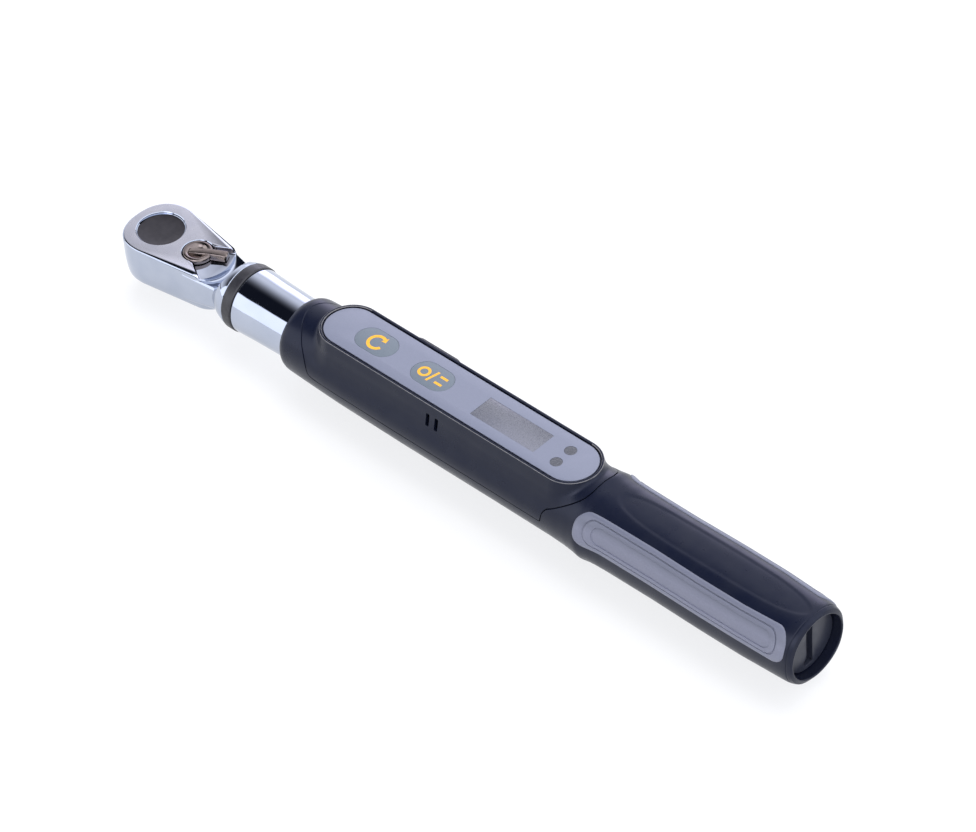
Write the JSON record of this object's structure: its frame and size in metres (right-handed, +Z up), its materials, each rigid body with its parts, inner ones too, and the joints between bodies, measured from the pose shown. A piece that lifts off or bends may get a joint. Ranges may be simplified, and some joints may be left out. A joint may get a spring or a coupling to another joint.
{
  "type": "torque wrench",
  "caption": "Digital torque wrench: chrome ratchet head with reverse lever, chrome tube, black plastic body with display and keys, grey grips and battery cap.",
  "frame": {"origin": "centre of the drive square's end face", "axes": "+X along the wrench from the head to the battery cap, +Z up and square to the keypad, so the drive square points along -Z"},
  "size_m": [0.2945, 0.0298, 0.032],
  "materials": {
    "chrome": "bright chrome, satin on the head top",
    "steel": "machined",
    "dark_steel": "blackened",
    "black_nickel": "black nickel plate",
    "black_oxide": "black oxide",
    "body_plastic": "fine texture",
    "black_rubber": "satin",
    "grip_rubber": "soft grip, satin",
    "panel_grey": "printed film",
    "key_grey": "printed film",
    "display_clear": "display window",
    "indicator_lens": "smoked lens",
    "board_green": "circuit board",
    "component_black": "moulded component",
    "led_clear": "clear resin",
    "display_grey": "liquid crystal module",
    "liner_white": "moulded liner",
    "cell_sleeve": "printed sleeve over a cell; aluminium density stands in for the cell mix",
    "gauge_film": "polyimide film"
  },
  "bodies": {
    "body": {"ratchet_head": "chrome", "outer_tube": "chrome", "snap_ring": "chrome", "sensor_beam": "steel", "data_socket": "steel", "front_contact": "steel", "pawl_pin": "dark_steel", "head_pin": "dark_steel", "beam_pin": "dark_steel", "cover_disc": "black_oxide", "main_housing": "body_plastic", "top_cover": "body_plastic", "seal_ring": "black_rubber", "grip_inlay_near": "grip_rubber", "grip_inlay_far": "grip_rubber", "overlay_panel": "panel_grey", "display_window": "display_clear", "indicator_lens_near": "indicator_lens", "indicator_lens_far": "indicator_lens", "circuit_board": "board_green", "clear_switch": "component_black", "unit_switch": "component_black", "buzzer": "component_black", "indicator_led_near": "led_clear", "indicator_led_far": "led_clear", "display_module": "display_grey", "battery_liner": "liner_white", "battery_cell_1": "cell_sleeve", "battery_cell_2": "cell_sleeve", "strain_gauge_front": "gauge_film", "strain_gauge_back": "gauge_film", "cover_screw_1": "dark_steel", "cover_screw_2": "dark_steel", "cover_screw_3": "dark_steel", "cover_screw_4": "dark_steel"},
    "drive": {"drive_gear": "steel", "detent_spring": "dark_steel"},
    "ball": {"detent_ball": "dark_steel"},
    "lever": {"reverse_lever": "black_nickel", "pawl_plunger": "dark_steel", "plunger_spring": "dark_steel"},
    "pawl": {"pawl": "steel"},
    "clear_key": {"clear_button": "key_grey"},
    "unit_key": {"unit_button": "key_grey"},
    "port_flap": {"port_cover": "black_rubber"},
    "cap_carrier": {"cap_seal": "black_rubber"},
    "cap": {"battery_cap": "body_plastic", "cap_spring": "steel"}
  },
  "joints": [
    {"name": "drive_turn", "type": "hinge", "parent": "body", "child": "drive", "pos_m": [0, 0, 0], "axis": [0, 0, 1], "continuous": true},
    {"name": "ball_detent", "type": "slide", "parent": "drive", "child": "ball", "axis": [-1, 0, 0], "range_m": [0, 0.0004], "stiffness_N_per_m": 300, "springref_m": -0.001},
    {"name": "reverse_throw", "type": "hinge", "parent": "body", "child": "lever", "pos_m": [0.0173, 0, 0.0164], "axis": [0, 0, 1], "range_deg": [-56, 0]},
    {"name": "pawl_rock", "type": "hinge", "parent": "body", "child": "pawl", "pos_m": [0.0119, 0, 0.0164], "axis": [0, 0, 1], "range_deg": [0, 16]},
    {"name": "clear_press", "type": "slide", "parent": "body", "child": "clear_key", "axis": [0, 0, -1], "range_m": [0, 0.00035], "stiffness_N_per_m": 2000, "springref_m": -0.0003},
    {"name": "unit_press", "type": "slide", "parent": "body", "child": "unit_key", "axis": [0, 0, -1], "range_m": [0, 0.00035], "stiffness_N_per_m": 2000, "springref_m": -0.0003},
    {"name": "port_open", "type": "hinge", "parent": "body", "child": "port_flap", "pos_m": [0.1143, 0.0129, 0.023], "axis": [-1, 0, 0], "range_deg": [0, 95]},
    {"name": "cap_pull", "type": "slide", "parent": "body", "child": "cap_carrier", "axis": [1, 0, 0], "range_m": [0, 0.02]},
    {"name": "cap_turn", "type": "hinge", "parent": "cap_carrier", "child": "cap", "pos_m": [0.2797, 0, 0.0164], "axis": [1, 0, 0], "range_deg": [0, 90]}
  ],
  "couplings": [
    {"joint": "pawl_rock", "follows": "reverse_throw", "ratio": -0.28571}
  ]
}
